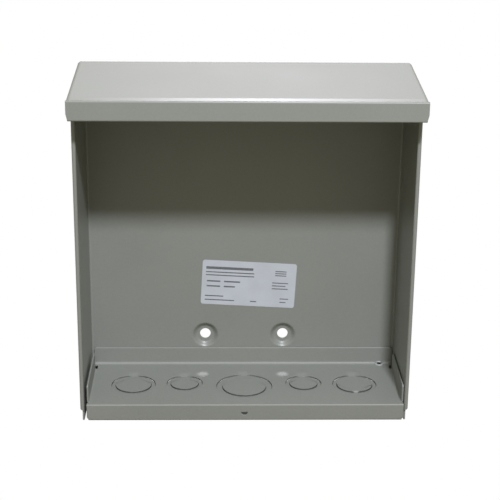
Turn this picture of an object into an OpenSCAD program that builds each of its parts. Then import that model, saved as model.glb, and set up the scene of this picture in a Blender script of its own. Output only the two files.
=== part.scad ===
// Open-fronted drip-hood wall enclosure of folded sheet steel, without its slide-up cover.
// Millimetres. +Z up, the open front faces -Y, and the origin is the middle of the footprint at z = 0.

/* [Body] */
// Width over the folded hems on the front edges
body_w = 254; // [200:1:320]
// From the front plane to the inner face of the back panel
inner_depth = 78.7; // [60:0.1:120]
// Thickness of the body and floor sheet
sheet_t = 1.5; // [1.2:0.1:2]
// Inside radius of the folds
fold_r = 1.5; // [1:0.1:3]
// How far the hem's return runs back from the front edge
hem_w = 9; // [6:0.5:14]
// Height at which the hem's return ends, above the bottom edge
hem_end_z = 7.8; // [4:0.1:12]
// Height of the chamfer that closes the hem's lower end
hem_chamfer_h = 2.1; // [1:0.1:4]

/* [Hood] */
// Thickness of the hood sheet
hood_t = 1.2; // [1:0.1:1.6]
// Clearance between the hood's flanges and the body
hood_gap = 0.1; // [0.05:0.05:0.3]
// How far the hood's lip stands in front of the front plane
hood_reach = 19.6; // [12:0.1:30]
// Height of the hood's top surface at the lip
hood_front_z = 257.9; // [200:0.1:320]
// Fall of the hood's top from back to front, in degrees
hood_slope = 4.5; // [2:0.1:8]
// Depth of the front lip, top to bottom
lip_h = 15; // [10:0.5:25]
// Depth of the side and rear flanges
hood_flange_h = 10.6; // [8:0.1:14]
// Depth of the lip's folded-back hem
lip_hem_h = 7; // [4:0.5:9]
// Height left free over the hems and the back, where the hood's folds run inside
fold_relief = 1.6; // [1.5:0.1:3]

/* [Floor pan] */
// Height of the floor's top surface
floor_z = 13.7; // [10:0.1:20]
// Height of the rear upstand above the floor's top
upstand_h = 14.4; // [8:0.1:25]
// Height of the side flanges above the floor's top
pan_side_h = 14.4; // [8:0.1:25]
// Room left between the side flanges' rear ends and the upstand
corner_notch = 10; // [6:0.5:16]
// Space between the pan's left end and the body's left side
left_gap = 1.8; // [0.2:0.1:3]
// Space between the pan's right end and the body's right side
right_gap = 0.2; // [0.1:0.1:3]
// Height of the folded-back hem on the front flange
pan_hem_h = 4; // [3:0.5:4]

/* [Knockouts] */
// Hole for half-inch conduit
half_inch_d = 22.5; // [22:0.1:22.8]
// Hole for three-quarter-inch conduit
three_quarter_inch_d = 28.6; // [28.2:0.1:28.9]
// Hole for one-inch conduit
one_inch_d = 35; // [34.5:0.1:35.4]
// Hole for one-and-a-quarter-inch conduit
one_and_quarter_inch_d = 44.4; // [43.7:0.1:44.9]
// Distance of the two outer knockouts from the middle one
outer_pitch = 88.3; // [86:0.1:90]
// Distance of the two inner knockouts from the middle one
inner_pitch = 47.6; // [45:0.1:49]
// Sideways place of the middle knockout
middle_x = 0.4; // [-1:0.1:1]
// Outer knockouts' distance behind the front plane
outer_back = 37.6; // [35:0.1:40]
// Inner knockouts' distance behind the front plane
inner_back = 39.8; // [37:0.1:42]
// Middle knockout's distance behind the front plane
middle_back = 34.3; // [32:0.1:37]
// How far the rings are pushed down by the punching
ring_drop = 1.1; // [0.8:0.1:1.3]
// Width of the sheared gap round each ring and slug
shear_gap = 0.2; // [0.15:0.05:0.3]
// Width of the tab that holds each ring or slug
tab_w = 4; // [3:0.5:6]

/* [Holes] */
// Diameter of the wall-mounting holes
mount_d = 8.7; // [7:0.1:9.5]
// Sideways spacing of the wall-mounting holes
mount_dx = 63.5; // [50:0.5:100]
// Vertical spacing of the wall-mounting holes
mount_dz = 190.5; // [185:0.5:195]
// Height of the lower wall-mounting holes
mount_z = 39.1; // [38:0.1:45]
// Sideways place of the hole pattern's middle
mount_x = 0.9; // [-2:0.1:2]
// How far the metal round each mounting hole is pushed towards the wall
dimple_h = 3; // [2:0.1:4]
// Radius of a dimple's flat seat
dimple_seat_r = 7; // [6:0.1:8]
// Radius of a dimple's mouth
dimple_mouth_r = 10.2; // [9.5:0.1:11]
// Diameter of the half-round opening for the cover's screw
cover_screw_d = 4.9; // [4:0.1:6]
// Height of that opening's flat top
cover_screw_z = 7.1; // [6.6:0.1:8]
// Diameter of the drain hole
drain_d = 3.2; // [2.5:0.1:5]
// Sideways place of the drain hole
drain_x = 113; // [100:0.5:116]

/* [Label] */
// Length of the rating label
label_w = 76.2; // [60:0.1:100]
// Height of the rating label
label_h = 38.1; // [25:0.1:50]
// Thickness of the rating label
label_t = 0.2; // [0.1:0.05:0.4]
// Sideways place of the label's middle
label_x = 4.3; // [-20:0.1:20]
// Height of the label's middle
label_z = 83.6; // [75:0.1:150]
// Clockwise tilt of the label as it was stuck on, in degrees
label_tilt = 3; // [0:0.1:5]

/* [Hidden] */

$fn = 96;
small = 0.01;
far = 600;

// Depths are counted from the front plane, which lies this far in front of the origin.
rear_of_dimples = inner_depth + dimple_h + sheet_t;
front_y = -(rear_of_dimples - hood_reach) / 2;

side_out = body_w / 2 - sheet_t;
side_in = side_out - sheet_t;
back_out = inner_depth + sheet_t;
corner_r = fold_r + sheet_t;

hood_half_w = body_w / 2 + hood_gap + hood_t;
hood_rear = back_out + hood_gap + hood_t;
hood_bend_r = fold_r + hood_t;
lip_bottom_z = hood_front_z - lip_h;

pan_left = -side_in + left_gap;
pan_right = side_in - right_gap;
pan_rear = inner_depth;
upstand_front = pan_rear - sheet_t;
pan_under = floor_z - sheet_t;

knock_x = [for (p = [-outer_pitch, -inner_pitch, 0, inner_pitch, outer_pitch]) middle_x + p];
knock_y = [outer_back, inner_back, middle_back, inner_back, outer_back];
ring_hole_d = [one_inch_d, three_quarter_inch_d, one_and_quarter_inch_d, three_quarter_inch_d, one_inch_d];
slug_hole_d = [three_quarter_inch_d, half_inch_d, one_inch_d, half_inch_d, three_quarter_inch_d];
// 1 where the slug's tab is at the back of its hole, -1 where it is at the front.
slug_tab_side = [1, 1, 1, 1, -1];
ring_top = floor_z - ring_drop;

// Height of the hood's top surface at a distance behind the front plane.
function hood_z(depth) = hood_front_z + (depth + hood_reach) * tan(hood_slope);

// Extrudes a side view, drawn as [depth, height], sideways from x0 to x1.
module side_view(x0, x1) {
    translate([x0, front_y, 0])
        rotate([90, 0, 90])
            linear_extrude(x1 - x0)
                children();
}

// Extrudes a front view, drawn as [x, height], from one depth to another.
module front_view(depth0, depth1) {
    translate([0, front_y + depth1, 0])
        rotate([90, 0, 0])
            linear_extrude(depth1 - depth0)
                children();
}

// Extrudes a plan, drawn as [x, depth], from z0 up to z1.
module plan_view(z0, z1) {
    translate([0, front_y, z0])
        linear_extrude(z1 - z0)
            children();
}

// A bar from a to b, used for every rectangle that is given by two corners.
module bar(a, b) {
    translate(a)
        square([b[0] - a[0], b[1] - a[1]]);
}

// A quarter of a folded sheet: centre c, outer radius r, thickness t, quadrant signs s.
module fold(c, r, t, s) {
    translate(c)
        intersection() {
            difference() {
                circle(r);
                circle(r - t);
            }
            translate([s[0] > 0 ? 0 : -r, s[1] > 0 ? 0 : -r])
                square(r);
        }
}

// A rectangle whose two upper corners are round.
module round_topped(a, b, r_left, r_right) {
    bar([a[0], a[1]], [b[0], b[1] - max(r_left, r_right)]);
    bar([a[0] + r_left, a[1]], [b[0] - r_right, b[1]]);
    translate([a[0] + r_left, b[1] - r_left]) circle(r_left);
    translate([b[0] - r_right, b[1] - r_right]) circle(r_right);
}

// Everything that lies lower than the hood's top surface by at least a drop, as a side view.
module below_hood(drop) {
    polygon([[-far, -far], [far, -far], [far, hood_z(far) - drop], [-far, hood_z(-far) - drop]]);
}

// The room for the body's sheet under the hood: lower at the back, clear of the hood's rear fold.
module below_hood_sheet() {
    under = hood_t / cos(hood_slope);
    below_hood(under + fold_relief);
    intersection() {
        below_hood(under);
        bar([-far, -far], [hood_rear - hood_bend_r - fold_relief, far]);
    }
}

/* Body ------------------------------------------------------------------ */

// The wrapped sheet in plan: one side, its rear fold and half the back.
module half_wrap_plan() {
    bar([side_in, sheet_t / 2], [side_out, back_out - corner_r]);
    fold([side_out - corner_r, back_out - corner_r], corner_r, sheet_t, [1, 1]);
    bar([0, inner_depth], [side_out - corner_r, back_out]);
}

// The closed hem on a front edge, folded outwards.
module hem_plan() {
    bar([side_out - small, sheet_t], [side_out + sheet_t, hem_w]);
    translate([side_out, sheet_t])
        intersection() {
            circle(sheet_t);
            translate([-sheet_t, -sheet_t])
                square([2 * sheet_t, sheet_t]);
        }
    translate([side_out + sheet_t / 2, hem_w])
        circle(sheet_t / 2);
}

// The hem's run from its chamfered lower end up to the hood's side fold.
module hem() {
    difference() {
        intersection() {
            plan_view(hem_end_z, hood_z(back_out))
                hem_plan();
            side_view(-body_w, body_w)
                below_hood(hood_t / cos(hood_slope) + fold_relief);
        }
        front_view(-sheet_t, hem_w + sheet_t)
            polygon([[side_out, hem_end_z - small],
                [side_out + 2 * sheet_t, hem_end_z - small],
                [side_out + 2 * sheet_t, hem_end_z + 2 * hem_chamfer_h]]);
    }
}

// Wall of one dimple, turned about the mounting hole's axis: [radius, depth from the inner face].
module dimple_wall() {
    wall_angle = atan(dimple_h / (dimple_mouth_r - dimple_seat_r));
    shift = sheet_t * tan(wall_angle / 2);
    rotate([-90, 0, 0])
        rotate_extrude()
            polygon([[mount_d / 2, dimple_h], [dimple_seat_r, dimple_h], [dimple_mouth_r, 0],
                [dimple_mouth_r + 2, 0], [dimple_mouth_r + 2, sheet_t],
                [dimple_mouth_r + shift, sheet_t], [dimple_seat_r + shift, dimple_h + sheet_t],
                [mount_d / 2, dimple_h + sheet_t]]);
}

// Puts its children at each of the four wall-mounting holes, on the back panel's inner face.
module at_mounts() {
    for (sx = [-1, 1], row = [0, 1])
        translate([mount_x + sx * mount_dx / 2, front_y + inner_depth, mount_z + row * mount_dz])
            children();
}

module back_and_sides() {
    color([0.50, 0.51, 0.48]) {
        difference() {
            intersection() {
                union() {
                    for (m = [0, 1])
                        mirror([m, 0, 0]) {
                            plan_view(0, hood_z(back_out))
                                half_wrap_plan();
                            hem();
                        }
                }
                side_view(-body_w, body_w)
                    below_hood_sheet();
            }
            at_mounts()
                rotate([-90, 0, 0])
                    translate([0, 0, -sheet_t])
                        cylinder(r = dimple_mouth_r + 1, h = 3 * sheet_t);
        }
        at_mounts()
            dimple_wall();
    }
}

/* Hood ------------------------------------------------------------------ */

// Solid of the hood's outer shape, shrunk inwards by a thickness.
module hood_block(inset) {
    lean = hood_slope;
    r = hood_bend_r - inset;
    intersection() {
        // Side view: vertical lip and rear flange under a falling top.
        side_view(-far, far)
            intersection() {
                bar([-hood_reach + inset, 0], [hood_rear - inset, far]);
                below_hood(inset / cos(lean));
            }
        // Round the long front and rear folds.
        side_view(-far, far)
            union() {
                bar([-hood_reach + inset + r, 0], [hood_rear - inset - r, far]);
                bar([-far, 0], [far, hood_z(-hood_reach) - inset - r]);
                bar([hood_rear - inset - 2 * r, 0], [far, hood_z(hood_rear) - inset - r]);
                translate([-hood_reach + inset + r, hood_z(-hood_reach + r) - (inset + r) / cos(lean)])
                    circle(r);
                translate([hood_rear - inset - r, hood_z(hood_rear - r) - (inset + r) / cos(lean)])
                    circle(r);
            }
        // Front view, drawn square to the falling top, with round side folds.
        translate([0, front_y - hood_reach, hood_front_z])
            rotate([lean, 0, 0])
                translate([0, far, 0])
                    rotate([90, 0, 0])
                        linear_extrude(2 * far)
                            round_topped([-hood_half_w + inset, -far], [hood_half_w - inset, -inset], r, r);
    }
}

// The lip's closed hem: the returned sheet and the round fold at its bottom edge.
module lip_hem() {
    half_w = hood_half_w - hood_t;
    side_view(-half_w, half_w) {
        bar([-hood_reach + hood_t - small, lip_bottom_z + hood_t],
            [-hood_reach + 2 * hood_t, lip_bottom_z + lip_hem_h]);
        translate([-hood_reach + hood_t, lip_bottom_z + hood_t])
            intersection() {
                circle(hood_t);
                translate([-hood_t, -hood_t])
                    square([2 * hood_t, hood_t]);
            }
    }
}

module drip_hood() {
    flange_drop = hood_flange_h / cos(hood_slope);
    color([0.76, 0.76, 0.75]) {
        difference() {
            hood_block(0);
            hood_block(hood_t);
            // Nothing hangs lower than the lip's fold line.
            translate([-far, -far, -far])
                cube([2 * far, 2 * far, far + lip_bottom_z + hood_t]);
            // The side flanges and the rear flange are shorter than the lip.
            difference() {
                side_view(-far, far)
                    intersection() {
                        bar([-far, 0], [far, far]);
                        below_hood(flange_drop);
                    }
                side_view(-hood_half_w + hood_t, hood_half_w - hood_t)
                    bar([-hood_reach - 1, 0], [-hood_reach + hood_t + small, far]);
            }
        }
        lip_hem();
    }
}

/* Floor pan ------------------------------------------------------------- */

// The pan's run from front hem to rear upstand, as a side view.
module pan_section() {
    r = corner_r;
    // Front flange with its closed hem.
    bar([0, sheet_t], [sheet_t, floor_z - r]);
    bar([sheet_t - small, sheet_t], [2 * sheet_t, pan_hem_h]);
    translate([sheet_t, sheet_t])
        intersection() {
            circle(sheet_t);
            translate([-sheet_t, -sheet_t])
                square([2 * sheet_t, sheet_t]);
        }
    fold([r, floor_z - r], r, sheet_t, [-1, 1]);
    // Floor.
    bar([r, pan_under], [pan_rear - r, floor_z]);
    // Rear upstand, with a round top edge.
    fold([pan_rear - r, pan_under + r], r, sheet_t, [1, -1]);
    bar([upstand_front, pan_under + r], [pan_rear, floor_z + upstand_h - sheet_t / 2]);
    translate([pan_rear - sheet_t / 2, floor_z + upstand_h - sheet_t / 2])
        circle(sheet_t / 2);
}

// A side flange turned up from the floor, as a front view, at the pan's right end.
module pan_side_section() {
    bar([pan_right - sheet_t, pan_under + corner_r], [pan_right, floor_z + pan_side_h - sheet_t / 2]);
    fold([pan_right - corner_r, pan_under + corner_r], corner_r, sheet_t, [1, -1]);
    translate([pan_right - sheet_t / 2, floor_z + pan_side_h - sheet_t / 2])
        circle(sheet_t / 2);
}

module floor_pan() {
    side_start = corner_r + 1;
    side_end = upstand_front - corner_notch;
    color([0.52, 0.53, 0.51]) {
        difference() {
            side_view(pan_left, pan_right)
                pan_section();
            // Make room for the folds of the side flanges, and open the corners behind them.
            front_view(side_start, upstand_front - fold_r) {
                bar([pan_right - corner_r, 0], [pan_right + 1, floor_z + 1]);
                bar([pan_left - 1, 0], [pan_left + corner_r, floor_z + 1]);
            }
            // Round the lower corners of the front flange.
            front_view(-1, 3 * sheet_t) {
                difference() {
                    bar([pan_right - sheet_t, -1], [pan_right + 1, sheet_t]);
                    translate([pan_right - sheet_t, sheet_t])
                        circle(sheet_t);
                }
                difference() {
                    bar([pan_left - 1, -1], [pan_left + sheet_t, sheet_t]);
                    translate([pan_left + sheet_t, sheet_t])
                        circle(sheet_t);
                }
            }
            for (i = [0 : 4])
                translate([knock_x[i], front_y + knock_y[i], pan_under - 1])
                    cylinder(d = ring_hole_d[i], h = sheet_t + 2);
            translate([drain_x, front_y + upstand_front - fold_r, pan_under - 1])
                cylinder(d = drain_d, h = sheet_t + 3);
            // Half-round opening for the cover's screw.
            front_view(-1, sheet_t + small)
                intersection() {
                    translate([0, cover_screw_z])
                        circle(d = cover_screw_d);
                    bar([-cover_screw_d, 0], [cover_screw_d, cover_screw_z]);
                }
        }
        front_view(side_start, side_end) {
            pan_side_section();
            translate([pan_left + pan_right, 0])
                mirror([1, 0])
                    pan_side_section();
        }
    }
}

/* Knockouts ------------------------------------------------------------- */

// A tab that reaches from inside a disc's edge towards the rim of its hole.
module knockout_tab(hole_d, side, top_z, bottom_z) {
    intersection() {
        translate([0, 0, bottom_z])
            cylinder(d = hole_d - shear_gap / 2, h = top_z - bottom_z);
        translate([-tab_w / 2, side > 0 ? hole_d / 2 - 1.5 : -hole_d / 2, bottom_z])
            cube([tab_w, 1.5, top_z - bottom_z]);
    }
}

// A ring, held at the back by its tab and pushed down below the floor's surface.
module knockout_ring(i) {
    color([0.52, 0.53, 0.51])
        translate([knock_x[i], front_y + knock_y[i], 0]) {
            difference() {
                union() {
                    translate([0, 0, ring_top - sheet_t])
                        cylinder(d = ring_hole_d[i] - 2 * shear_gap, h = sheet_t);
                    knockout_tab(ring_hole_d[i], 1, ring_top, ring_top - sheet_t);
                }
                translate([0, 0, ring_top - 2 * sheet_t])
                    cylinder(d = slug_hole_d[i], h = 3 * sheet_t);
            }
        }
}

// A slug, level with the floor and held by its own tab over the ring's edge.
module knockout_slug(i) {
    color([0.52, 0.53, 0.51])
        translate([knock_x[i], front_y + knock_y[i], 0]) {
            translate([0, 0, pan_under])
                cylinder(d = slug_hole_d[i] - 2 * shear_gap, h = sheet_t);
            knockout_tab(slug_hole_d[i], slug_tab_side[i], floor_z, pan_under);
        }
}

/* Label ----------------------------------------------------------------- */

module rating_label() {
    corner = 2;
    color([0.72, 0.73, 0.73])
        translate([label_x, front_y + inner_depth, label_z])
            rotate([90, label_tilt, 0])
                linear_extrude(label_t) {
                    square([label_w - 2 * corner, label_h], center = true);
                    square([label_w, label_h - 2 * corner], center = true);
                    for (sx = [-1, 1], sy = [-1, 1])
                        translate([sx * (label_w / 2 - corner), sy * (label_h / 2 - corner)])
                            circle(corner);
                }
}

back_and_sides();
drip_hood();
floor_pan();
rating_label();
knockout_ring(0);  // knockout_ring_1
knockout_ring(1);  // knockout_ring_2
knockout_ring(2);  // knockout_ring_3
knockout_ring(3);  // knockout_ring_4
knockout_ring(4);  // knockout_ring_5
knockout_slug(0);  // knockout_slug_1
knockout_slug(1);  // knockout_slug_2
knockout_slug(2);  // knockout_slug_3
knockout_slug(3);  // knockout_slug_4
knockout_slug(4);  // knockout_slug_5
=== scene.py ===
"""Looks of an open-fronted drip-hood wall enclosure: folded, powder-coated sheet steel without its cover.

Sizes are in millimetres and become metres as each mesh is made. A depth is counted from the front plane,
towards the wall. Each folded sheet starts as a flat pattern, u along its cross-section and v along its folds.
"""

import math

import bmesh
import bpy
import numpy as np
from mathutils import Matrix, Vector
from mathutils.geometry import delaunay_2d_cdt


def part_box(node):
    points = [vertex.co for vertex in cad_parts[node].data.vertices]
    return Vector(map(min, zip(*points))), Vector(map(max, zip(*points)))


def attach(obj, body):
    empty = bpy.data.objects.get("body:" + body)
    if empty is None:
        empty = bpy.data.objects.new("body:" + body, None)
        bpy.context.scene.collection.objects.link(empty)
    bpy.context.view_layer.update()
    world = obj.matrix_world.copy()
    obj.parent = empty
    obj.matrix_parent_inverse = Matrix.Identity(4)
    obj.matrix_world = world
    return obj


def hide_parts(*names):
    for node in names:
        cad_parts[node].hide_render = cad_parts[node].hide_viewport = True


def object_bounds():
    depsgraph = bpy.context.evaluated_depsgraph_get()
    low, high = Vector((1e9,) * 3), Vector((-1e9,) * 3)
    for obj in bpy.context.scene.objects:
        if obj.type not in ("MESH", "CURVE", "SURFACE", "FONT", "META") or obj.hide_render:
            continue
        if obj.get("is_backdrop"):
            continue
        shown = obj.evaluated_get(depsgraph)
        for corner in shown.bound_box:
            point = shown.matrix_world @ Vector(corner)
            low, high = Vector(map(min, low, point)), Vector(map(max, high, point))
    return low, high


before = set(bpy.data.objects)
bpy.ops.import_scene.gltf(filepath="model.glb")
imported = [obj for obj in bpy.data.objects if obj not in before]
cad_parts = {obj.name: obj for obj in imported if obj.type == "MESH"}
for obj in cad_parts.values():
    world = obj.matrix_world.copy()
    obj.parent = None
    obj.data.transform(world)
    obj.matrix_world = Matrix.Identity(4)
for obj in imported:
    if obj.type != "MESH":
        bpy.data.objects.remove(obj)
cad_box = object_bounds()

MM = 0.001

# Sheets and folds.
SHEET_T = 1.5
SHEET_MESH_T = 1.46
FOLD_R = 1.5
CORNER_R = FOLD_R + SHEET_T
HOOD_T = 1.2
HOOD_MESH_T = 1.16
HOOD_BEND_R = FOLD_R + HOOD_T
HOOD_FRONT_R = 1.4
CROWN_BACK = 7.5
CROWN_H = 0.17
CROWN_HALF_W = 3.6
CROWN_STEPS = 12
BEND_STEP_DEG = 10
HOLD = 0.7
EDGE_ROUND = 0.22
PAN_EDGE_ROUND = 0.4

# Body.
DIMPLE_H = 3.0
HEM_W = 9.0
HEM_END_Z = 7.8
HEM_CHAMFER_H = 2.1
FOLD_RELIEF = 1.6

# Wall-mounting holes.
MOUNT_R = 4.35
MOUNT_X = 0.9
MOUNT_DX = 63.5
MOUNT_Z = 39.1
MOUNT_DZ = 190.5
DIMPLE_SEAT_R = 6.4
DIMPLE_MOUTH_R = 10.9
DIMPLE_CREASE_RADII = (4.9, 5.7, 6.4, 7.1, 7.8, 8.5, 9.2, 9.9, 10.4, 10.9, 11.6, 12.6)

# Hood.
LIP_H = 15.0
LIP_HEM_H = 7.0
LIP_CHAMFER_W = 1.0
LIP_CHAMFER_H = 4.2
HOOD_SLOPE_DEG = 4.5
HOOD_FLANGE_H = 10.6
SLIT = 0.3

# Floor pan.
UPSTAND_H = 14.4
PAN_HEM_H = 4.0
PAN_SIDE_H = 14.4
CORNER_NOTCH = 10.0
PAN_FRONT_R = 1.1
PAN_REAR_R = 2.2
FLOOR_ROWS = 21
FLOOR_RANKS = 8
CREASE_STEP = 4.0
CREASE_CLEAR = 7.5
SIDE_START = 4.0
COVER_SCREW_R = 2.45
COVER_SCREW_Z = 7.1
DRAIN_R = 1.6
DRAIN_X = 113.0
DRAIN_RIM_H = 0.9
DRAIN_RIM_R = 2.9
DRAIN_CREASE_RADII = (1.9, 2.2, 2.5, DRAIN_RIM_R, 3.4)

# Knockouts.
SHEAR_GAP = 0.2
TAB_GAP = 0.06
TAB_HALF_W = 2.0
TAB_FADE_W = 7.0
TAB_FADE_LENGTH = 5.6
TAB_CREASE_STEPS = (0.5, 1.2, 2.0, 2.9, 3.8, 4.7, 5.6, 6.4)
SLUG_TAB_SLOPE = 1.6
FRONT_TAB_SLUGS = (5,)

# Label.
LABEL_W = 76.2
LABEL_H = 38.1
LABEL_T = 0.16
LABEL_CORNER_R = 2.0
LABEL_TILT_DEG = 3.0
PRINT_T = 0.03

# Grey paint, as linear colour.
PAINT = (0.235, 0.242, 0.212)

# Camera.
CAMERA_AT = (-0.0238868, -0.98925, 0.4784678)
CAMERA_YAW_DEG = 1.60277
CAMERA_PITCH_DEG = 19.4285
CAMERA_ROLL_DEG = 0.6086
CAMERA_LENS = 98.363

# Light.
LIGHT_TARGET = Vector((0.0, 0.0, 0.12))
KEY_DIRECTION = Vector((0.177, -1.0, 1.08))
KEY_DISTANCE = 2.0
KEY_SIZE = 0.2
KEY_POWER = 46.0
KEY_COLOUR = (0.97, 1.0, 1.12)
TOP_AT = Vector((0.0, 0.1, 1.6))
TOP_SIZE = 1.0
TOP_POWER = 0.6
TOP_COLOUR = (1.02, 1.0, 1.1)
REAR_DIRECTION = Vector((0.05, 1.0, 0.907))
REAR_DISTANCE = 2.0
REAR_SIZE = 0.2
REAR_POWER = 19.5
WORLD_STRENGTH = 0.405
WORLD_COLOUR = (1.04, 1.0, 0.86)
FLOOR_GLOW = 1.0
STAGE_REACH = 14.0
GROUND_Z = -0.0005
GROUND_COLOUR = (0.74, 0.74, 0.66)
SHADE_INSET = 8.0
SHADE_Z = 0.5
# The shade plane's colour is a painted shadow under the enclosure, and its glow is painted light.
SHADE_COLOUR = (0.3, 0.3, 0.29)
SHADE_GLOW = 0.2


def box_mm(node):
    """Lowest and highest corner of a CAD node, in millimetres."""
    low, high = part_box(node)
    return low / MM, high / MM


body_low, body_high = box_mm("back_and_sides")
hood_low, hood_high = box_mm("drip_hood")
pan_low, pan_high = box_mm("floor_pan")
label_low, label_high = box_mm("rating_label")

front_y = body_low.y
body_half_w = body_high.x
side_in = body_half_w - 2 * SHEET_T
inner_depth = body_high.y - front_y - DIMPLE_H - SHEET_T

hood_half_w = hood_high.x
hood_reach = front_y - hood_low.y
hood_rear = hood_high.y - front_y
lip_bottom_z = hood_low.z
hood_front_z = lip_bottom_z + LIP_H
hood_slope = math.radians(HOOD_SLOPE_DEG)

pan_half_w = (pan_high.x - pan_low.x) / 2
pan_middle_x = (pan_high.x + pan_low.x) / 2
floor_z = pan_high.z - UPSTAND_H
upstand_front = inner_depth - SHEET_T


def knockout(number):
    """Centre, radii and top of one knockout, as a dict."""
    ring_low, ring_high = box_mm(f"knockout_ring_{number}")
    slug_low, slug_high = box_mm(f"knockout_slug_{number}")
    ring_r = (ring_high.x - ring_low.x) / 2 + SHEAR_GAP
    return {
        "number": number,
        "x": (ring_low.x + ring_high.x) / 2,
        "depth": ring_low.y + ring_r - SHEAR_GAP - front_y,
        "ring_r": ring_r,
        "slug_r": (slug_high.x - slug_low.x) / 2 + SHEAR_GAP,
        "ring_top": ring_high.z,
        "tab_side": -1 if number in FRONT_TAB_SLUGS else 1,
    }


KNOCKOUTS = [knockout(number) for number in range(1, 6)]
RING_DROP = floor_z - KNOCKOUTS[0]["ring_top"]


def smooth(t):
    """Eases from 0 to 1 as t goes from 0 to 1."""
    t = min(1.0, max(0.0, t))
    return t * t * (3 - 2 * t)


def hood_z(depth):
    """Height of the hood's top surface."""
    return hood_front_z + (depth + hood_reach) * math.tan(hood_slope)


# Flat patterns -------------------------------------------------------------


class Section:
    """Cross-section of a folded sheet along its drawn face, as straight runs and round bends.

    A run is ("run", length) and a bend ("bend", radius, degrees), with positive degrees to the left.
    The drawn face looks to the left of the way along, and the sheet's thickness lies to the right.
    """

    def __init__(self, start, heading_deg, steps):
        self.legs = []
        self.stations = []
        point = Vector(start)
        heading = math.radians(heading_deg)
        along = 0.0
        for step in steps:
            turn = math.radians(step[2]) if step[0] == "bend" else 0.0
            length = step[1] * abs(turn) if turn else step[1]
            leg = {"start": point, "heading": heading, "turn": turn, "from": along, "length": length}
            self.legs.append(leg)
            if turn:
                count = max(2, math.ceil(abs(step[2]) / BEND_STEP_DEG))
                self.stations += [along + length * i / count for i in range(count + 1)]
                self.stations += [along - HOLD, along + length + HOLD]
            along += length
            point, heading = self.on_leg(leg, along)
        self.length = along

    @staticmethod
    def on_leg(leg, along):
        """Point and heading at a distance along one leg, or straight on past its ends."""
        ahead = along - leg["from"]
        way = Vector((math.cos(leg["heading"]), math.sin(leg["heading"])))
        if not leg["turn"]:
            return leg["start"] + way * ahead, leg["heading"]
        radius = leg["length"] / leg["turn"]
        centre = leg["start"] + Vector((-way.y, way.x)) * radius
        heading = leg["heading"] + leg["turn"] * ahead / leg["length"]
        return centre + Vector((math.sin(heading), -math.cos(heading))) * radius, heading

    def at(self, along, height, leg_number=None):
        """Point at a height above the drawn face. A leg number keeps to that leg's line."""
        if leg_number is None:
            inside = [leg for leg in self.legs if along <= leg["from"] + leg["length"]]
            leg = inside[0] if inside else self.legs[-1]
        else:
            leg = self.legs[leg_number]
        point, heading = self.on_leg(leg, along)
        return point + Vector((-math.sin(heading), math.cos(heading))) * height

    def end_of(self, leg_number):
        """Distance along the section at which a leg ends."""
        leg = self.legs[leg_number]
        return leg["from"] + leg["length"]


def side_fold(v, height, flat, radius, way=-1):
    """Bends a pattern's margin past flat through a quarter turn.

    It turns away from the drawn face (-1) or over it (1).
    """
    beyond = abs(v) - flat
    if beyond <= 0:
        return v, height
    side = math.copysign(1.0, v)
    arc = radius * math.pi / 2
    reach = radius - way * height
    if beyond >= arc:
        return side * (flat + reach), way * (radius + beyond - arc)
    turn = beyond / radius
    return side * (flat + reach * math.sin(turn)), way * (radius - reach * math.cos(turn))


def side_fold_lines(flat, radius, u_from, u_to):
    """Lines across a side fold at which the flat pattern may bend, on both sides."""
    count = math.ceil(90 / BEND_STEP_DEG)
    arc = radius * math.pi / 2
    places = [flat + arc * i / count for i in range(count + 1)] + [flat - HOLD, flat + arc + HOLD]
    return [[(u_from, side * v), (u_to, side * v)] for v in places for side in (-1, 1)]


def circle(centre, radius, count):
    """Points of a circle, anticlockwise."""
    turns = [2 * math.pi * i / count for i in range(count)]
    return [(centre[0] + radius * math.cos(t), centre[1] + radius * math.sin(t)) for t in turns]


def arc_points(centre, radius, start_deg, end_deg, count):
    """Points of an arc, both ends included."""
    turns = [math.radians(start_deg + (end_deg - start_deg) * i / count) for i in range(count + 1)]
    return [(centre[0] + radius * math.cos(t), centre[1] + radius * math.sin(t)) for t in turns]


def inside_loops(places, loops):
    """Which places lie inside the outline and outside the holes, by counting crossings."""
    inside = np.zeros(len(places), bool)
    x, y = places[:, 0], places[:, 1]
    for loop in loops:
        ring = np.array(loop, float)
        for a, b in zip(ring, np.roll(ring, -1, 0)):
            crosses = (a[1] > y) != (b[1] > y)
            if a[1] != b[1]:
                inside ^= crosses & (x < (b[0] - a[0]) * (y - a[1]) / (b[1] - a[1]) + a[0])
    return inside


def triangulate(loops, creases):
    """Flat points and triangles of a pattern with holes, split along its creases."""
    points = []
    edges = []
    for chain, closed in [(c, True) for c in loops] + [(c, False) for c in creases]:
        base = len(points)
        points += [Vector(p) for p in chain]
        last = len(chain) if closed else len(chain) - 1
        edges += [(base + i, base + (i + 1) % len(chain)) for i in range(last)]
    flat, _, faces = delaunay_2d_cdt(points, edges, [], 0, 1e-4)[:3]
    centres = np.array([[sum(flat[i][k] for i in face) / 3 for k in (0, 1)] for face in faces])
    kept = inside_loops(centres, loops)
    return flat, [tuple(face) for face, keep in zip(faces, kept) if keep]


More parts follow.
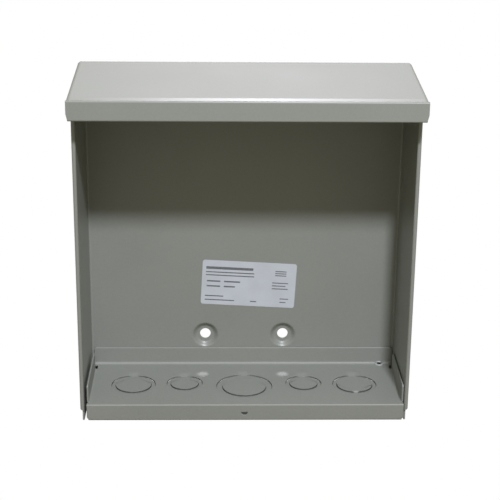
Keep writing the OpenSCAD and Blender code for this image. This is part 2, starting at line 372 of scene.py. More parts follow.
def folded_sheet(name, loops, creases, place, thickness, materials, is_sheared=None):
    """A sheet of even thickness, folded from its flat pattern by place(u, v, height)."""
    flat, triangles = triangulate(loops, creases)
    used = sorted({i for face in triangles for i in face})
    order = {old: new for new, old in enumerate(used)}
    count = len(used)
    verts = [place(flat[i].x, flat[i].y, 0.0) for i in used]
    verts += [place(flat[i].x, flat[i].y, -thickness) for i in used]
    drawn = [tuple(order[i] for i in face) for face in triangles]
    sides = {}
    for face in drawn:
        for a, b in zip(face, face[1:] + face[:1]):
            if (b, a) in sides:
                del sides[(b, a)]
            else:
                sides[(a, b)] = True
    faces = list(drawn) + [tuple(i + count for i in reversed(face)) for face in drawn]
    slots = [0] * len(faces)
    for a, b in sides:
        faces.append((b, a, a + count, b + count))
        middle = (flat[used[a]] + flat[used[b]]) / 2
        slots.append(1 if is_sheared and is_sheared(middle.x, middle.y) else 0)
    mesh = bpy.data.meshes.new(name)
    mesh.from_pydata([Vector(v) * MM for v in verts], [], faces)
    for material in materials:
        mesh.materials.append(material)
    mesh.polygons.foreach_set("material_index", slots)
    return finish_piece(name, mesh)


def finish_piece(name, mesh, edge_round=EDGE_ROUND):
    """Turns a mesh's faces outwards, shades it smooth between sharp edges and rounds those edges."""
    work = bmesh.new()
    work.from_mesh(mesh)
    bmesh.ops.recalc_face_normals(work, faces=work.faces)
    work.to_mesh(mesh)
    work.free()
    mesh.shade_smooth()
    mesh.set_sharp_from_angle(angle=math.radians(40))
    piece = bpy.data.objects.new(name, mesh)
    bpy.context.scene.collection.objects.link(piece)
    if edge_round:
        bevel = piece.modifiers.new("edge_round", "BEVEL")
        bevel.width = edge_round * MM
        bevel.segments = 2
        bevel.limit_method = "ANGLE"
        bevel.angle_limit = math.radians(50)
        bevel.use_clamp_overlap = False
        bevel.harden_normals = True
        flatten = piece.modifiers.new("flat_faces_stay_flat", "WEIGHTED_NORMAL")
        flatten.keep_sharp = True
    return piece


# Materials -----------------------------------------------------------------


def new_material(name, colour, roughness):
    """A Principled material, with its node tree, shader and a Texture Coordinate node."""
    material = bpy.data.materials.new(name)
    material.use_nodes = True
    tree = material.node_tree
    shader = tree.nodes["Principled BSDF"]
    shader.inputs["Base Color"].default_value = (*colour, 1.0)
    shader.inputs["Roughness"].default_value = roughness
    material.diffuse_color = (*colour, 1.0)
    coordinates = tree.nodes.new("ShaderNodeTexCoord")
    return material, tree, shader, coordinates


def noise(tree, coordinates, size_mm, detail=2.0, rough=0.5):
    """Noise with features of about a size, in the object's own coordinates."""
    node = tree.nodes.new("ShaderNodeTexNoise")
    node.inputs["Scale"].default_value = 1000.0 / size_mm
    node.inputs["Detail"].default_value = detail
    node.inputs["Roughness"].default_value = rough
    tree.links.new(coordinates.outputs["Object"], node.inputs["Vector"])
    return node


def ramp(tree, source, stops):
    """A colour ramp over a 0 to 1 value."""
    node = tree.nodes.new("ShaderNodeValToRGB")
    elements = node.color_ramp.elements
    while len(elements) < len(stops):
        elements.new(0.5)
    for element, (position, colour) in zip(elements, stops):
        element.position = position
        element.color = (*colour, 1.0)
    tree.links.new(source, node.inputs["Fac"])
    return node


def spread(tree, source, low, high):
    """Maps a 0 to 1 value to a range."""
    node = tree.nodes.new("ShaderNodeMapRange")
    node.inputs["To Min"].default_value = low
    node.inputs["To Max"].default_value = high
    tree.links.new(source, node.inputs["Value"])
    return node


def mixed(tree, factor, first, second):
    """Mixes two colour outputs by a factor output."""
    node = tree.nodes.new("ShaderNodeMix")
    node.data_type = "RGBA"
    tree.links.new(factor, node.inputs["Factor"])
    tree.links.new(first, node.inputs["A"])
    tree.links.new(second, node.inputs["B"])
    return node


def tinted(colour, factor):
    """A colour made lighter or darker."""
    return tuple(c * factor for c in colour)


def powder_coat(name, colour, roughness):
    """Semi-gloss powder coat: slight mottling, fine orange peel and thin, worn paint on convex edges."""
    material, tree, shader, coordinates = new_material(name, colour, roughness)
    clouds = noise(tree, coordinates, 55.0, 3.0)
    grain = noise(tree, coordinates, 1.4, 2.0)
    peel = noise(tree, coordinates, 1.1, 1.5, 0.45)
    swell = noise(tree, coordinates, 38.0, 1.0)
    base = ramp(tree, clouds.outputs["Fac"], [(0.3, tinted(colour, 0.965)), (0.7, tinted(colour, 1.035))])
    speck = ramp(tree, grain.outputs["Fac"], [(0.25, tinted(colour, 0.93)), (0.75, tinted(colour, 1.07))])
    paint = tree.nodes.new("ShaderNodeMix")
    paint.data_type = "RGBA"
    paint.inputs["Factor"].default_value = 0.35
    tree.links.new(base.outputs["Color"], paint.inputs["A"])
    tree.links.new(speck.outputs["Color"], paint.inputs["B"])
    # Paint thins on the sharp rims, and shows more light there.
    geometry = tree.nodes.new("ShaderNodeNewGeometry")
    rim = spread(tree, geometry.outputs["Pointiness"], 0.0, 1.0)
    rim.inputs["From Min"].default_value = 0.56
    rim.inputs["From Max"].default_value = 0.72
    breaks = noise(tree, coordinates, 3.0, 2.0)
    worn = tree.nodes.new("ShaderNodeMath")
    worn.operation = "MULTIPLY"
    tree.links.new(rim.outputs["Result"], worn.inputs[0])
    patchy = spread(tree, breaks.outputs["Fac"], 0.0, 0.5)
    tree.links.new(patchy.outputs["Result"], worn.inputs[1])
    bare = ramp(tree, breaks.outputs["Fac"], [(0.4, tinted(colour, 1.25)), (0.8, tinted(colour, 1.7))])
    colours = mixed(tree, worn.outputs["Value"], paint.outputs["Result"], bare.outputs["Color"])
    tree.links.new(colours.outputs["Result"], shader.inputs["Base Color"])
    gloss = spread(tree, clouds.outputs["Fac"], roughness - 0.05, roughness + 0.05)
    tree.links.new(gloss.outputs["Result"], shader.inputs["Roughness"])
    peel_bump = tree.nodes.new("ShaderNodeBump")
    peel_bump.inputs["Strength"].default_value = 0.12
    peel_bump.inputs["Distance"].default_value = 0.00008
    tree.links.new(peel.outputs["Fac"], peel_bump.inputs["Height"])
    swell_bump = tree.nodes.new("ShaderNodeBump")
    swell_bump.inputs["Strength"].default_value = 0.25
    swell_bump.inputs["Distance"].default_value = 0.0002
    tree.links.new(swell.outputs["Fac"], swell_bump.inputs["Height"])
    tree.links.new(peel_bump.outputs["Normal"], swell_bump.inputs["Normal"])
    tree.links.new(swell_bump.outputs["Normal"], shader.inputs["Normal"])
    return material


def sheared_steel_with_gap_shade(name, colour):
    """Punched edge of a knockout, thinly coated, with fine vertical shear marks. Its dark colour is partly
    the cut steel and partly painted shade of the narrow gap beside it.
    """
    material, tree, shader, coordinates = new_material(name, colour, 0.55)
    shader.inputs["Metallic"].default_value = 0.35
    marks = noise(tree, coordinates, 0.8, 3.0)
    tone = ramp(tree, marks.outputs["Fac"], [(0.3, tinted(colour, 0.7)), (0.7, tinted(colour, 1.5))])
    tree.links.new(tone.outputs["Color"], shader.inputs["Base Color"])
    gloss = spread(tree, marks.outputs["Fac"], 0.45, 0.7)
    tree.links.new(gloss.outputs["Result"], shader.inputs["Roughness"])
    bump = tree.nodes.new("ShaderNodeBump")
    bump.inputs["Strength"].default_value = 0.4
    bump.inputs["Distance"].default_value = 0.0001
    tree.links.new(marks.outputs["Fac"], bump.inputs["Height"])
    tree.links.new(bump.outputs["Normal"], shader.inputs["Normal"])
    return material


def label_film(name):
    """Satin silver-grey film with faint mottling and a slightly uneven surface."""
    colour = (0.5, 0.52, 0.545)
    material, tree, shader, coordinates = new_material(name, colour, 0.4)
    clouds = noise(tree, coordinates, 14.0, 3.0)
    tone = ramp(tree, clouds.outputs["Fac"], [(0.3, tinted(colour, 0.96)), (0.7, tinted(colour, 1.03))])
    tree.links.new(tone.outputs["Color"], shader.inputs["Base Color"])
    gloss = spread(tree, clouds.outputs["Fac"], 0.34, 0.46)
    tree.links.new(gloss.outputs["Result"], shader.inputs["Roughness"])
    ripple = noise(tree, coordinates, 6.0, 2.0)
    bump = tree.nodes.new("ShaderNodeBump")
    bump.inputs["Strength"].default_value = 0.15
    bump.inputs["Distance"].default_value = 0.0001
    tree.links.new(ripple.outputs["Fac"], bump.inputs["Height"])
    tree.links.new(bump.outputs["Normal"], shader.inputs["Normal"])
    return material


def label_ink(name):
    """Dark grey thermal print, a little uneven."""
    colour = (0.11, 0.115, 0.12)
    material, tree, shader, coordinates = new_material(name, colour, 0.5)
    spots = noise(tree, coordinates, 0.9, 2.0)
    tone = ramp(tree, spots.outputs["Fac"], [(0.35, tinted(colour, 0.85)), (0.75, tinted(colour, 1.8))])
    tree.links.new(tone.outputs["Color"], shader.inputs["Base Color"])
    gloss = spread(tree, spots.outputs["Fac"], 0.42, 0.6)
    tree.links.new(gloss.outputs["Result"], shader.inputs["Roughness"])
    return material


coat = powder_coat("grey_powder_coat", PAINT, 0.36)
hood_coat = powder_coat("hood_powder_coat", PAINT, 0.62)
bend_coat = powder_coat("rubbed_bend_powder_coat", PAINT, 0.38)
# The drain rim's lighter coat is a painted highlight: it stands in for the bright ring that light makes round
# the drain hole.
drain_rim_highlight_coat = powder_coat("drain_rim_painted_highlight", (0.4, 0.41, 0.385), 0.4)
pan_coat = powder_coat("pan_powder_coat", PAINT, 0.5)
# Dark coats for the knockouts' cut edges: partly the thinly coated steel, partly painted shade of the narrow
# gaps round the rings and slugs.
sheared = sheared_steel_with_gap_shade("disc_edge_with_painted_gap_shade", (0.12, 0.123, 0.112))
sheared_hole = sheared_steel_with_gap_shade("hole_edge_with_painted_gap_shade", (0.2, 0.205, 0.185))
film = label_film("label_film")
ink = label_ink("label_ink")


def on_body(piece, slot_name, *nodes, body="enclosure"):
    """Makes a piece ride on its body and stand for its CAD nodes."""
    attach(piece, body)
    if nodes:
        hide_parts(*nodes)


# Body ----------------------------------------------------------------------


def dimple(x, z):
    """How far the back panel is pushed towards the wall, round the mounting holes."""
    pushed = 0.0
    for centre in mount_centres():
        reach = math.hypot(x - centre[0], z - centre[1])
        slope = (reach - DIMPLE_SEAT_R) / (DIMPLE_MOUTH_R - DIMPLE_SEAT_R)
        pushed = max(pushed, DIMPLE_H * (1 - smooth(slope)))
    return pushed


def mount_centres():
    """Sideways place and height of the four wall-mounting holes."""
    return [
        (MOUNT_X + side * MOUNT_DX / 2, MOUNT_Z + row * MOUNT_DZ)
        for side in (-1, 1)
        for row in (0, 1)
    ]


def make_body():
    """One sheet wrapped round the back and both sides, with a closed hem on each front edge."""
    side_run = inner_depth - FOLD_R - SHEET_T
    section = Section(
        (body_half_w, HEM_W),
        -90,
        [
            ("run", HEM_W - SHEET_T),
            ("bend", SHEET_T, -180),
            ("run", side_run),
            ("bend", FOLD_R, 90),
            ("run", 2 * (side_in - FOLD_R)),
            ("bend", FOLD_R, 90),
            ("run", side_run),
            ("bend", SHEET_T, -180),
            ("run", HEM_W - SHEET_T),
        ],
    )
    under = HOOD_T / math.cos(hood_slope)
    hem_top = hood_z(0) - under - FOLD_RELIEF
    hem_top_rear = hood_z(HEM_W) - under - FOLD_RELIEF
    back_top = hood_z(inner_depth) - under - FOLD_RELIEF
    chamfer_z = HEM_END_Z + HEM_CHAMFER_H
    half = [
        (0.0, hem_top_rear),
        (0.0, chamfer_z),
        (section.end_of(0), chamfer_z),
        (section.end_of(1), HEM_END_Z),
        (section.end_of(1), 0.0),
    ]
    half_top = [
        (section.end_of(2) - HOLD, back_top),
        (section.end_of(2) - HOLD, hood_z(inner_depth - CORNER_R) - under),
        (section.end_of(1), hood_z(SHEET_T) - under),
        (section.end_of(1), hem_top),
        (section.end_of(0), hem_top),
    ]
    mirrored = [(section.length - u, v) for u, v in reversed(half)]
    mirrored_top = [(section.length - u, v) for u, v in reversed(half_top)]
    outline = half + mirrored + mirrored_top + half_top
    middle = section.length / 2

    def place(u, v, height):
        x = middle - u
        point = section.at(u, height - dimple(x, v))
        return point.x, point.y + front_y, v

    centres = [(middle - x, z) for x, z in mount_centres()]
    holes = [circle(c, MOUNT_R, 64) for c in centres]
    creases = [[(u, -1.0), (u, back_top + 20.0)] for u in section.stations]
    for centre in centres:
        rounds = [circle(centre, r, 64) for r in DIMPLE_CREASE_RADII]
        creases += [ring + ring[:1] for ring in rounds]
    piece = folded_sheet("folded_body", [outline] + holes, creases, place, SHEET_MESH_T, [coat])
    on_body(piece, "grey_powder_coat", "back_and_sides")


# Hood ----------------------------------------------------------------------


def make_hood():
    """Sloping top with a hemmed front lip, side flanges and a rear flange."""
    front_turn = 90 - HOOD_SLOPE_DEG
    rear_turn = 90 + HOOD_SLOPE_DEG
    front_tangent = HOOD_FRONT_R * math.tan(math.radians(front_turn) / 2)
    rear_tangent = HOOD_BEND_R * math.tan(math.radians(rear_turn) / 2)
    top_run = (hood_rear + hood_reach) / math.cos(hood_slope) - front_tangent - rear_tangent
    section = Section(
        (-hood_reach + 2 * HOOD_T, lip_bottom_z + LIP_HEM_H),
        -90,
        [
            ("run", LIP_HEM_H - HOOD_T),
            ("bend", HOOD_T, -180),
            ("run", LIP_H - HOOD_T - front_tangent),
            ("bend", HOOD_FRONT_R, -front_turn),
            ("run", top_run),
            ("bend", HOOD_BEND_R, -rear_turn),
            ("run", HOOD_FLANGE_H - rear_tangent),
        ],
    )
    top_leg = 4
    top_start = section.end_of(3)
    top_end = section.end_of(4)
    flat = hood_half_w - HOOD_BEND_R
    flange_v = flat + HOOD_BEND_R * math.pi / 2 + HOOD_FLANGE_H - HOOD_BEND_R
    bend_v = flat + HOOD_BEND_R * math.pi / 2
    lip_v = hood_half_w - 0.05
    # The side flanges run on to the lip's rear face and to the rear flange's outer face.
    forward = front_tangent - HOOD_T - SLIT
    backward = rear_tangent - SLIT
    lean = HOOD_FLANGE_H * math.tan(hood_slope)
    right = [
        (0.0, lip_v - 3 * LIP_CHAMFER_W),
        (section.end_of(0), lip_v - LIP_CHAMFER_W),
        (section.end_of(1), lip_v - LIP_CHAMFER_W),
        (section.end_of(1) + LIP_CHAMFER_H, lip_v),
        (top_start, lip_v),
        (top_start, flat),
        (top_start + SLIT, flat),
        (top_start + SLIT, bend_v),
        (top_start - forward, bend_v + HOLD),
        (top_start - forward - lean, flange_v),
        (top_end + backward - lean, flange_v),
        (top_end + backward, bend_v + HOLD),
        (top_end - SLIT, bend_v),
        (top_end - SLIT, flat),
        (top_end, flat),
        (top_end, flat + 1.0),
        (section.length, flat + 1.0),
    ]
    outline = right + [(u, -v) for u, v in reversed(right)]
    crown_u = top_start + CROWN_BACK - front_tangent

    def place(u, v, height):
        # The top bulges a little behind its front fold, as the brake leaves it.
        fade = smooth((flat - abs(v)) / CROWN_HALF_W)
        height += CROWN_H * fade * (1 - smooth(abs(u - crown_u) / CROWN_HALF_W))
        in_flanges = abs(v) > flat and top_start - forward - lean - 1 < u < top_end + backward + 1
        in_lip = u <= top_start + SLIT / 2 and abs(v) <= lip_v + SLIT
        in_rear = u >= top_end - SLIT / 2 and abs(v) <= flat + 1.0 + SLIT
        if in_flanges and not in_lip and not in_rear:
            x, over = side_fold(v, height, flat, HOOD_BEND_R)
            point = section.at(u, over, top_leg)
            return x, point.x + front_y, point.y
        point = section.at(u, height)
        return v, point.x + front_y, point.y

    creases = [[(u, -lip_v - 1), (u, lip_v + 1)] for u in section.stations if u < top_start + SLIT]
    creases += [[(u, -flat - 2), (u, flat + 2)] for u in section.stations if u >= top_start + SLIT]
    creases += side_fold_lines(flat, HOOD_BEND_R, top_start + SLIT, top_end - SLIT)
    crown = [crown_u + CROWN_HALF_W * (2 * i / CROWN_STEPS - 1) for i in range(1, CROWN_STEPS + 1)]
    creases += [[(u, -flat), (u, flat)] for u in crown]
    piece = folded_sheet("folded_hood", [outline], creases, place, HOOD_MESH_T, [hood_coat, bend_coat])
    for face in piece.data.polygons:
        at = face.center / MM
        if at.y < front_y - hood_reach + CROWN_BACK and at.z > hood_front_z - HOLD:
            face.material_index = 1
    on_body(piece, "grey_powder_coat", "drip_hood")


# Floor pan -----------------------------------------------------------------


def tab_dip(x, depth):
    """How far the floor is drawn down just behind each knockout, where its ring hangs on."""
    deepest = 0.0
    for k in KNOCKOUTS:
        aside = abs(x - k["x"])
        beyond = math.hypot(x - k["x"], depth - k["depth"]) - k["ring_r"]
        if depth < k["depth"] or aside > TAB_FADE_W or beyond > TAB_FADE_LENGTH:
            continue
        across = 1 - smooth((aside - TAB_HALF_W * 0.6) / (TAB_FADE_W - TAB_HALF_W * 0.6))
        deepest = max(deepest, RING_DROP * across * (1 - smooth(beyond / TAB_FADE_LENGTH)))
    return deepest


def tab_creases(k, u_of_depth):
    """Short arcs behind a knockout, fine enough for its dip."""
    reach = math.degrees(math.asin((TAB_FADE_W + 0.8) / k["ring_r"]))
    chains = []
    for beyond in TAB_CREASE_STEPS:
        centre = (k["x"] - pan_middle_x, k["depth"])
        arc = arc_points(centre, k["ring_r"] + beyond, 90 - reach, 90 + reach, 16)
        chains.append([(u_of_depth(depth), v) for v, depth in arc])
    return chains


def clear_runs(line, round_holes):
    """The parts of a straight crease that keep well clear of round holes given as (u, v, radius)."""
    start, end = (Vector(p) for p in line)
    count = max(1, round((end - start).length / CREASE_STEP))
    runs = [[]]
    for i in range(count + 1):
        point = start.lerp(end, i / count)
        if all(math.hypot(point.x - u, point.y - v) > r + CREASE_CLEAR for u, v, r in round_holes):
            runs[-1].append(tuple(point))
        else:
            runs.append([])
    return [run for run in runs if len(run) > 1]


def make_pan():
    """Floor with a hemmed front flange, a rear upstand, side flanges, knockout holes and a drain hole."""
    section = Section(
        (2 * SHEET_T, PAN_HEM_H),
        -90,
        [
            ("run", PAN_HEM_H - SHEET_T),
            ("bend", SHEET_T, -180),
            ("run", floor_z - PAN_FRONT_R - SHEET_T),
            ("bend", PAN_FRONT_R, -90),
            ("run", upstand_front - PAN_REAR_R - PAN_FRONT_R),
            ("bend", PAN_REAR_R, 90),
            ("run", UPSTAND_H - PAN_REAR_R),
        ],
    )
    floor_leg = 4
    floor_start = section.end_of(3)

    def u_of_depth(depth):
        return floor_start + depth - PAN_FRONT_R

    u_side0 = u_of_depth(SIDE_START)
    u_side1 = u_of_depth(upstand_front - CORNER_NOTCH)
    u_corner = u_of_depth(upstand_front - PAN_REAR_R)
    flat = pan_half_w - CORNER_R
    flange_v = flat + FOLD_R * math.pi / 2 + PAN_SIDE_H - FOLD_R
    corner = SHEET_T
    right = [
        (0.0, pan_half_w - corner),
        (section.end_of(0), pan_half_w - corner),
        (section.end_of(1), pan_half_w - corner * 0.7),
        (section.end_of(1) + corner * 0.5, pan_half_w - corner * 0.2),
        (section.end_of(1) + corner, pan_half_w),
        (u_side0 - SLIT, pan_half_w),
        (u_side0 - SLIT, flat),
        (u_side0, flat),
        (u_side0, flange_v - corner),
        (u_side0 + corner, flange_v),
        (u_side1 - corner, flange_v),
        (u_side1, flange_v - corner),
        (u_side1, flat),
        (u_corner, flat),
        (u_corner, pan_half_w),
        (section.length - corner, pan_half_w),
        (section.length, pan_half_w - corner),
    ]
    outline = right + [(u, -v) for u, v in reversed(right)]
    drain_u = u_of_depth(upstand_front - FOLD_R)
    drain_v = DRAIN_X - pan_middle_x

    def drain_rim(u, v):
        reach = math.hypot(u - drain_u, v - drain_v)
        return DRAIN_RIM_H * (1 - smooth((reach - DRAIN_R) / (DRAIN_RIM_R - DRAIN_R)))

    def place(u, v, height):
        if abs(v) > flat and u_side0 - SLIT / 2 < u < u_side1 + SLIT / 2:
            v, height = side_fold(v, height, flat, FOLD_R, way=1)
            point = section.at(u, height, floor_leg)
        else:
            dip = tab_dip(v + pan_middle_x, u - floor_start + PAN_FRONT_R)
            point = section.at(u, height - dip + drain_rim(u, v))
        return v + pan_middle_x, point.x + front_y, point.y

    screw_u = section.end_of(1) + COVER_SCREW_Z - SHEET_T
    screw = arc_points((screw_u, -pan_middle_x), COVER_SCREW_R, 90, 270, 16)
    holes = [circle((u_of_depth(k["depth"]), k["x"] - pan_middle_x), k["ring_r"], 120) for k in KNOCKOUTS]
    drain = circle((drain_u, drain_v), DRAIN_R, 32)
    creases = [[(u, -pan_half_w - 1), (u, pan_half_w + 1)] for u in section.stations]
    creases += side_fold_lines(flat, FOLD_R, u_side0, u_side1)
    # Plain lines across the floor keep its triangles short, so that it shades evenly.
    across = [(flat - HOLD) * (2 * i / FLOOR_ROWS - 1) for i in range(FLOOR_ROWS + 1)]
    lines = [[(0.0, v), (section.length, v)] for v in across]
    along = [u_side0 + i * (u_side1 - u_side0) / FLOOR_RANKS for i in range(FLOOR_RANKS + 1)]
    lines += [[(u, -flat), (u, flat)] for u in along]
    round_holes = [(u_of_depth(k["depth"]), k["x"] - pan_middle_x, k["ring_r"]) for k in KNOCKOUTS]
    round_holes.append((drain_u, drain_v, DRAIN_R))
    for line in lines:
        creases += clear_runs(line, round_holes)
    creases += [circle((drain_u, drain_v), r, 32) for r in DRAIN_CREASE_RADII]
    for k in KNOCKOUTS:
        creases += tab_creases(k, u_of_depth)

    # Faces on the knockout holes' cut edges take the dark edge coat, which is partly painted shade of the
    # gap.
    def is_sheared(u, v):
        depth = u - floor_start + PAN_FRONT_R
        reaches = [math.hypot(v + pan_middle_x - k["x"], depth - k["depth"]) for k in KNOCKOUTS]
        return min(abs(reach - k["ring_r"]) for reach, k in zip(reaches, KNOCKOUTS)) < SHEAR_GAP

    loops = [outline, screw, drain] + holes
    coats = [pan_coat, sheared_hole, drain_rim_highlight_coat]
    piece = folded_sheet("folded_floor_pan", loops, creases, place, SHEET_MESH_T, coats, is_sheared)
    # Faces round the drain hole take the lighter coat, a painted highlight of its rim.
    drain_at = Vector((DRAIN_X, front_y + upstand_front - FOLD_R, floor_z))
    for face in piece.data.polygons:
        at = face.center / MM
        if (at - drain_at).length < DRAIN_RIM_R and at.z > floor_z - SHEET_MESH_T / 2:
            face.material_index = 2
    piece.modifiers["edge_round"].width = PAN_EDGE_ROUND * MM
    on_body(piece, "grey_powder_coat", "floor_pan")


# Knockouts -----------------------------------------------------------------


def disc_outline(radius, tab_side):
    """A disc's edge with a tab that reaches nearly to the rim of its hole, at the back (1) or front (-1)."""
    edge = radius - SHEAR_GAP
    half_turn = math.degrees(math.asin(TAB_HALF_W / edge))
    tab_turn = math.degrees(math.asin(TAB_HALF_W / (radius - TAB_GAP)))
    middle = 90 * tab_side
    body = arc_points((0, 0), edge, middle + half_turn, middle + 360 - half_turn, 110)
    tab = arc_points((0, 0), radius - TAB_GAP, middle - tab_turn, middle + tab_turn, 8)
    return body + tab


def make_ring(k):
    """A flat ring, hanging by one tab at its back."""

    def place(u, v, height):
        return u + k["x"], v + k["depth"] + front_y, k["ring_top"] + height

    loops = [disc_outline(k["ring_r"], 1), circle((0, 0), k["slug_r"], 120)]
    name = f"knockout_ring_{k['number']}_disc"
    # Its cut edges take the dark edge coat, partly painted shade of the gap.
    piece = folded_sheet(name, loops, [], place, SHEET_MESH_T, [pan_coat, sheared], lambda u, v: True)
    on_body(piece, "grey_powder_coat", f"knockout_ring_{k['number']}", body=f"ring_{k['number']}")


def make_slug(k):
    """A slug, level with the floor, whose tab dips to the ring."""
    edge = k["slug_r"] - SHEAR_GAP

    def dip(u, v):
        inward = edge - v * k["tab_side"]
        across = 1 - smooth((abs(u) - TAB_HALF_W * 0.6) / (TAB_HALF_W * 0.8))
        return RING_DROP * across * (1 - smooth(inward / SLUG_TAB_SLOPE))

    def place(u, v, height):
        return u + k["x"], v + k["depth"] + front_y, floor_z + height - dip(u, v)

    rows = [edge - d for d in (0.2, 0.5, 0.8, 1.1, 1.4, 1.8, 2.3)]
    creases = [[(-3.0, r * k["tab_side"]), (3.0, r * k["tab_side"])] for r in rows]
    spans = [-3.0, -2.6, -2.2, -1.8, -1.4, -1.0, 0.0, 1.0, 1.4, 1.8, 2.2, 2.6, 3.0]
    creases += [[(x, (edge - 2.4) * k["tab_side"]), (x, (edge + 0.3) * k["tab_side"])] for x in spans]
    name = f"knockout_slug_{k['number']}_disc"
    loops = [disc_outline(k["slug_r"], k["tab_side"])]
    # Its cut edges take the dark edge coat, partly painted shade of the gap.
    piece = folded_sheet(name, loops, creases, place, SHEET_MESH_T, [pan_coat, sheared], lambda u, v: True)
    on_body(piece, "grey_powder_coat", f"knockout_slug_{k['number']}", body=f"slug_{k['number']}")


# Label ---------------------------------------------------------------------


def label_place():
    """Turns a place on the label's face into one in the frame."""
    middle = (label_low + label_high) / 2
    tilt = math.radians(LABEL_TILT_DEG)
    panel = front_y + inner_depth

    def place(u, v, height):
        x = middle.x + u * math.cos(tilt) + v * math.sin(tilt)
        z = middle.z - u * math.sin(tilt) + v * math.cos(tilt)
        return x, panel - LABEL_T - height, z

    return place


def rounded_rectangle(width, height, radius, count=6):
    """Outline of a rectangle with round corners, about its middle."""
    half_w = width / 2 - radius
    half_h = height / 2 - radius
    corners = [(half_w, half_h, 0), (-half_w, half_h, 90), (-half_w, -half_h, 180), (half_w, -half_h, 270)]
    return [p for x, y, start in corners for p in arc_points((x, y), radius, start, start + 90, count)]


def print_rows():
    """Generic printing as (left, width, middle height, thickness) of plain bars: no letters and no marks."""
    heading = [(-35.0, 38.0, 12.6, 2.2)]
    small = [(-35.0, 39.0, 9.0 - i * 2.6, 0.9) for i in range(2)]
    typed = [(-34.0, 11.0, 1.2 - i * 4.3, 1.2) for i in range(2)]
    typed += [(-20.0, 13.0, 1.2, 1.2), (-20.0, 9.0, -3.1, 1.2)]
    foot = [(-35.0, 15.0, -11.6, 0.9), (-35.0, 24.0, -15.0, 0.9), (2.0, 5.0, -15.0, 0.9)]
    block = [(21.0, 9.0, 12.0 - i * 1.8, 0.8) for i in range(3)]
    side = [(19.0, 13.0 - 2 * (i % 2), 2.0 - i * 2.5, 0.8) for i in range(3)]
    corner = [(26.0, 7.0, -11.6, 0.8), (26.0, 5.0, -14.6, 0.8)]
    return heading + small + typed + foot + block + side + corner


def make_label():
    """Film stuck on the back panel, and the plain bars printed on it."""
    place = label_place()
    outline = rounded_rectangle(LABEL_W, LABEL_H, LABEL_CORNER_R)
    piece = folded_sheet("label_film_sheet", [outline], [], place, LABEL_T - 0.01, [film])
    piece.modifiers["edge_round"].width = 0.04 * MM
    on_body(piece, "label_film", "rating_label")
    vertices = []
    faces = []
    for left, width, middle, thick in print_rows():
        base = len(vertices)
        for u, v in ((left, -0.5), (left + width, -0.5), (left + width, 0.5), (left, 0.5)):
            for height in (0.0, PRINT_T):
                vertices.append(Vector(place(u, middle + v * thick, height)) * MM)
        quads = [(1, 3, 5, 7), (0, 6, 4, 2), (0, 2, 3, 1), (2, 4, 5, 3), (4, 6, 7, 5), (6, 0, 1, 7)]
        faces += [tuple(base + i for i in quad) for quad in quads]
    mesh = bpy.data.meshes.new("label_print")
    mesh.from_pydata(vertices, [], faces)
    mesh.materials.append(ink)
    on_body(finish_piece("label_print", mesh, edge_round=0), "label_film")


# Stage ---------------------------------------------------------------------


def stage_plane(name, low, high, material):
    """A level rectangle of the stage between two corners, in metres, at the height of the first."""
    mesh = bpy.data.meshes.new(name)
    corners = [(low.x, low.y), (high.x, low.y), (high.x, high.y), (low.x, high.y)]
    mesh.from_pydata([(x, y, low.z) for x, y in corners], [], [(0, 1, 2, 3)])
    mesh.materials.append(material)
    plane = bpy.data.objects.new(name, mesh)
    bpy.context.scene.collection.objects.link(plane)
    plane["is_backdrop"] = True
    return plane


def make_floor():
    """A plain white floor, wide enough to fill the view."""
    material, _, shader, _ = new_material("stage_white", (0.0, 0.0, 0.0), 0.9)
    shader.inputs["Emission Color"].default_value = (1.0, 1.0, 1.0, 1.0)
    shader.inputs["Emission Strength"].default_value = FLOOR_GLOW
    shader.inputs["Specular IOR Level"].default_value = 0.0
    low = Vector((-STAGE_REACH, -STAGE_REACH, 0.0))
    floor = stage_plane("stage_floor", low, -low, material)
    # Only the camera sees it: the ground and the even light already hold its share of the light.
    floor.visible_diffuse = False
    floor.visible_glossy = False


def make_ground():
    """Dull ground just under the white floor, which takes the light that would come up from below."""
    material, _, _, _ = new_material("stage_dull", GROUND_COLOUR, 0.9)
    low = Vector((-STAGE_REACH, -STAGE_REACH, GROUND_Z))
    stage_plane("stage_ground", low, -low, material)


def make_shade():
    """A painted shadow under the enclosure, seen only through its openings: a dull plane with a faint painted
    glow that lightens what shows through the gaps.
    """
    low = Vector((pan_low.x + SHADE_INSET, front_y + SHADE_INSET, SHADE_Z)) * MM
    high = Vector((pan_high.x - SHADE_INSET, front_y + inner_depth - SHADE_INSET, SHADE_Z)) * MM
    material, _, shader, _ = new_material("stage_shaded", SHADE_COLOUR, 0.9)
    # The faint glow is painted light for the dim floor seen through the gaps.
    shader.inputs["Emission Color"].default_value = (*SHADE_COLOUR, 1.0)
    shader.inputs["Emission Strength"].default_value = SHADE_GLOW
    stage_plane("stage_shade", low, high, material)


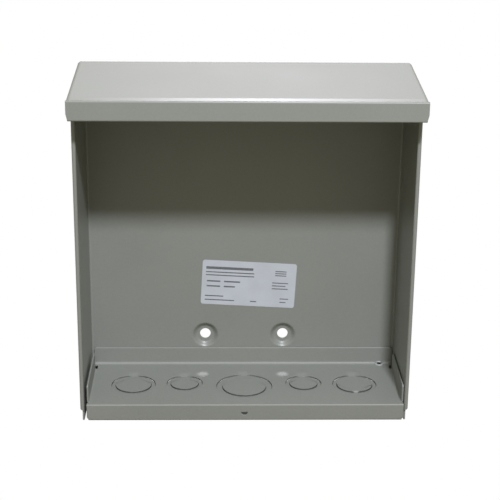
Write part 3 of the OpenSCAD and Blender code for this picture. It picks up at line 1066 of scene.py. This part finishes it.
def area_light(name, at, size, power, colour, shape="SQUARE"):
    """A soft light that shines at the enclosure."""
    data = bpy.data.lights.new(name, "AREA")
    data.shape = shape
    data.size = size
    data.energy = power
    data.color = colour
    lamp = bpy.data.objects.new(name, data)
    lamp.location = at
    lamp.rotation_euler = (LIGHT_TARGET - at).to_track_quat("-Z", "Y").to_euler()
    bpy.context.scene.collection.objects.link(lamp)


def make_lights():
    """A small key light from the front and above, a wide top light, and even light all round."""
    lip_edge = Vector((0.0, hood_low.y, lip_bottom_z)) * MM
    key_at = lip_edge + KEY_DIRECTION.normalized() * KEY_DISTANCE
    area_light("key", key_at, KEY_SIZE, KEY_POWER, KEY_COLOUR, "DISK")
    area_light("top", TOP_AT, TOP_SIZE, TOP_POWER, TOP_COLOUR)
    rear_at = LIGHT_TARGET + REAR_DIRECTION.normalized() * REAR_DISTANCE
    area_light("rear", rear_at, REAR_SIZE, REAR_POWER, TOP_COLOUR, "DISK")
    world = bpy.data.worlds.new("studio")
    world.use_nodes = True
    background = world.node_tree.nodes["Background"]
    background.inputs["Color"].default_value = (*WORLD_COLOUR, 1.0)
    background.inputs["Strength"].default_value = WORLD_STRENGTH
    bpy.context.scene.world = world
    bpy.context.scene.view_settings.view_transform = "Standard"


def make_camera():
    """Camera in front, a little left, above and turned down."""
    yaw = math.radians(CAMERA_YAW_DEG)
    pitch = math.radians(CAMERA_PITCH_DEG)
    roll = math.radians(CAMERA_ROLL_DEG)
    ahead = Vector((math.sin(yaw) * math.cos(pitch), math.cos(yaw) * math.cos(pitch), -math.sin(pitch)))
    level = Vector((math.cos(yaw), -math.sin(yaw), 0.0))
    upright = level.cross(ahead)
    right = level * math.cos(roll) + upright * math.sin(roll)
    up = upright * math.cos(roll) - level * math.sin(roll)
    data = bpy.data.cameras.new("camera")
    data.lens = CAMERA_LENS
    camera = bpy.data.objects.new("camera", data)
    turned = Matrix((right, up, -ahead)).transposed().to_4x4()
    camera.matrix_world = Matrix.Translation(CAMERA_AT) @ turned
    bpy.context.scene.collection.objects.link(camera)
    bpy.context.scene.camera = camera


make_camera()
make_lights()
make_floor()
make_ground()
make_shade()
make_body()
make_hood()
make_pan()
for knock in KNOCKOUTS:
    make_ring(knock)
    make_slug(knock)
make_label()

boxes = {"cad": cad_box, "visual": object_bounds()}
{name: [list(corner) for corner in box] for name, box in boxes.items()}
